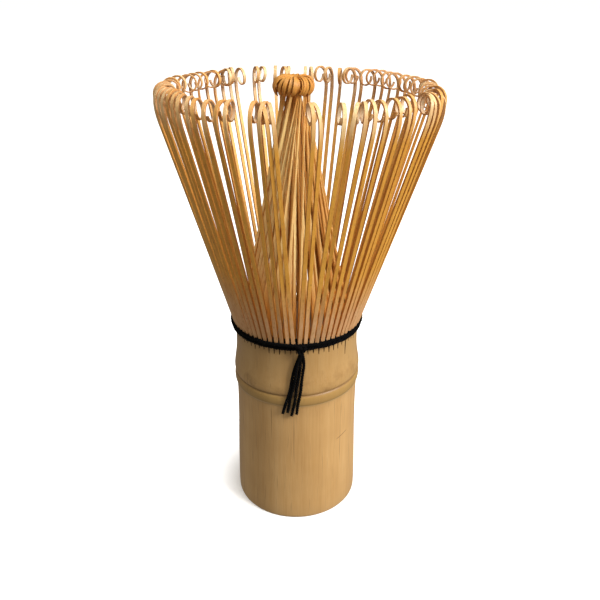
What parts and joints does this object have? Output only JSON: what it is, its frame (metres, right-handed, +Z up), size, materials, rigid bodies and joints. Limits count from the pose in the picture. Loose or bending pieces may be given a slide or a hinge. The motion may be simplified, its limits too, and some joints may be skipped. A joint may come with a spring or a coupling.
{
  "type": "bamboo tea whisk",
  "caption": "Hand whisk for powdered tea: a bamboo culm handle whose end is split into a flared ring of curled outer tines and a gathered inner cone, bound with black thread.",
  "frame": {"origin": "centre of the handle's base, where it stands", "axes": "+Z up along the culm to the tips, -Y towards the thread's knot at the front, +X to the right seen from the front"},
  "size_m": [0.0566, 0.0566, 0.0994],
  "materials": {
    "culm_bamboo": "scraped and smoothed bamboo skin, satin",
    "outer_tine_bamboo": "split and shaved bamboo, satin",
    "inner_tine_bamboo": "split and shaved bamboo, satin",
    "black_thread": "twisted cotton thread"
  },
  "bodies": {
    "handle": {"handle": "culm_bamboo", "inner_tines_01": "inner_tine_bamboo", "inner_tines_02": "inner_tine_bamboo", "inner_tines_03": "inner_tine_bamboo", "inner_tines_04": "inner_tine_bamboo", "inner_tines_05": "inner_tine_bamboo", "inner_tines_06": "inner_tine_bamboo", "inner_tines_07": "inner_tine_bamboo", "inner_tines_08": "inner_tine_bamboo", "inner_tines_09": "inner_tine_bamboo", "inner_tines_10": "inner_tine_bamboo", "inner_tines_11": "inner_tine_bamboo", "inner_tines_12": "inner_tine_bamboo", "inner_tines_13": "inner_tine_bamboo", "inner_tines_14": "inner_tine_bamboo", "inner_tines_15": "inner_tine_bamboo", "inner_tines_16": "inner_tine_bamboo", "inner_tines_17": "inner_tine_bamboo", "inner_tines_18": "inner_tine_bamboo", "thread_outer_round_1": "black_thread", "thread_outer_round_2": "black_thread", "thread_inner_round": "black_thread", "thread_knot": "black_thread", "thread_end_1": "black_thread", "thread_end_2": "black_thread", "thread_end_3": "black_thread", "thread_end_4": "black_thread"},
    "outer_section_01": {"outer_tines_01": "outer_tine_bamboo"},
    "outer_section_02": {"outer_tines_02": "outer_tine_bamboo"},
    "outer_section_03": {"outer_tines_03": "outer_tine_bamboo"},
    "outer_section_04": {"outer_tines_04": "outer_tine_bamboo"},
    "outer_section_05": {"outer_tines_05": "outer_tine_bamboo"},
    "outer_section_06": {"outer_tines_06": "outer_tine_bamboo"},
    "outer_section_07": {"outer_tines_07": "outer_tine_bamboo"},
    "outer_section_08": {"outer_tines_08": "outer_tine_bamboo"},
    "outer_section_09": {"outer_tines_09": "outer_tine_bamboo"},
    "outer_section_10": {"outer_tines_10": "outer_tine_bamboo"},
    "outer_section_11": {"outer_tines_11": "outer_tine_bamboo"},
    "outer_section_12": {"outer_tines_12": "outer_tine_bamboo"},
    "outer_section_13": {"outer_tines_13": "outer_tine_bamboo"},
    "outer_section_14": {"outer_tines_14": "outer_tine_bamboo"},
    "outer_section_15": {"outer_tines_15": "outer_tine_bamboo"},
    "outer_section_16": {"outer_tines_16": "outer_tine_bamboo"},
    "outer_section_17": {"outer_tines_17": "outer_tine_bamboo"},
    "outer_section_18": {"outer_tines_18": "outer_tine_bamboo"}
  },
  "joints": [
    {"name": "flex_01", "type": "hinge", "parent": "handle", "child": "outer_section_01", "pos_m": [0.00234, -0.01327, 0.0453], "axis": [0.9848, 0.1736, 0], "range_deg": [-3, 8], "stiffness_Nm_per_rad": 0.025},
    {"name": "flex_02", "type": "hinge", "parent": "handle", "child": "outer_section_02", "pos_m": [0.00674, -0.01167, 0.0453], "axis": [0.866, 0.5, 0], "range_deg": [-3, 8], "stiffness_Nm_per_rad": 0.025},
    {"name": "flex_03", "type": "hinge", "parent": "handle", "child": "outer_section_03", "pos_m": [0.01032, -0.00866, 0.0453], "axis": [0.6428, 0.766, 0], "range_deg": [-3, 8], "stiffness_Nm_per_rad": 0.025},
    {"name": "flex_04", "type": "hinge", "parent": "handle", "child": "outer_section_04", "pos_m": [0.01266, -0.00461, 0.0453], "axis": [0.342, 0.9397, 0], "range_deg": [-3, 8], "stiffness_Nm_per_rad": 0.025},
    {"name": "flex_05", "type": "hinge", "parent": "handle", "child": "outer_section_05", "pos_m": [0.01348, 0, 0.0453], "axis": [0, 1, 0], "range_deg": [-3, 8], "stiffness_Nm_per_rad": 0.025},
    {"name": "flex_06", "type": "hinge", "parent": "handle", "child": "outer_section_06", "pos_m": [0.01266, 0.00461, 0.0453], "axis": [-0.342, 0.9397, 0], "range_deg": [-3, 8], "stiffness_Nm_per_rad": 0.025},
    {"name": "flex_07", "type": "hinge", "parent": "handle", "child": "outer_section_07", "pos_m": [0.01032, 0.00866, 0.0453], "axis": [-0.6428, 0.766, 0], "range_deg": [-3, 8], "stiffness_Nm_per_rad": 0.025},
    {"name": "flex_08", "type": "hinge", "parent": "handle", "child": "outer_section_08", "pos_m": [0.00674, 0.01167, 0.0453], "axis": [-0.866, 0.5, 0], "range_deg": [-3, 8], "stiffness_Nm_per_rad": 0.025},
    {"name": "flex_09", "type": "hinge", "parent": "handle", "child": "outer_section_09", "pos_m": [0.00234, 0.01327, 0.0453], "axis": [-0.9848, 0.1736, 0], "range_deg": [-3, 8], "stiffness_Nm_per_rad": 0.025},
    {"name": "flex_10", "type": "hinge", "parent": "handle", "child": "outer_section_10", "pos_m": [-0.00234, 0.01327, 0.0453], "axis": [-0.9848, -0.1736, 0], "range_deg": [-3, 8], "stiffness_Nm_per_rad": 0.025},
    {"name": "flex_11", "type": "hinge", "parent": "handle", "child": "outer_section_11", "pos_m": [-0.00674, 0.01167, 0.0453], "axis": [-0.866, -0.5, 0], "range_deg": [-3, 8], "stiffness_Nm_per_rad": 0.025},
    {"name": "flex_12", "type": "hinge", "parent": "handle", "child": "outer_section_12", "pos_m": [-0.01032, 0.00866, 0.0453], "axis": [-0.6428, -0.766, 0], "range_deg": [-3, 8], "stiffness_Nm_per_rad": 0.025},
    {"name": "flex_13", "type": "hinge", "parent": "handle", "child": "outer_section_13", "pos_m": [-0.01266, 0.00461, 0.0453], "axis": [-0.342, -0.9397, 0], "range_deg": [-3, 8], "stiffness_Nm_per_rad": 0.025},
    {"name": "flex_14", "type": "hinge", "parent": "handle", "child": "outer_section_14", "pos_m": [-0.01348, 0, 0.0453], "axis": [0, -1, 0], "range_deg": [-3, 8], "stiffness_Nm_per_rad": 0.025},
    {"name": "flex_15", "type": "hinge", "parent": "handle", "child": "outer_section_15", "pos_m": [-0.01266, -0.00461, 0.0453], "axis": [0.342, -0.9397, 0], "range_deg": [-3, 8], "stiffness_Nm_per_rad": 0.025},
    {"name": "flex_16", "type": "hinge", "parent": "handle", "child": "outer_section_16", "pos_m": [-0.01032, -0.00866, 0.0453], "axis": [0.6428, -0.766, 0], "range_deg": [-3, 8], "stiffness_Nm_per_rad": 0.025},
    {"name": "flex_17", "type": "hinge", "parent": "handle", "child": "outer_section_17", "pos_m": [-0.00674, -0.01167, 0.0453], "axis": [0.866, -0.5, 0], "range_deg": [-3, 8], "stiffness_Nm_per_rad": 0.025},
    {"name": "flex_18", "type": "hinge", "parent": "handle", "child": "outer_section_18", "pos_m": [-0.00234, -0.01327, 0.0453], "axis": [0.9848, -0.1736, 0], "range_deg": [-3, 8], "stiffness_Nm_per_rad": 0.025}
  ]
}
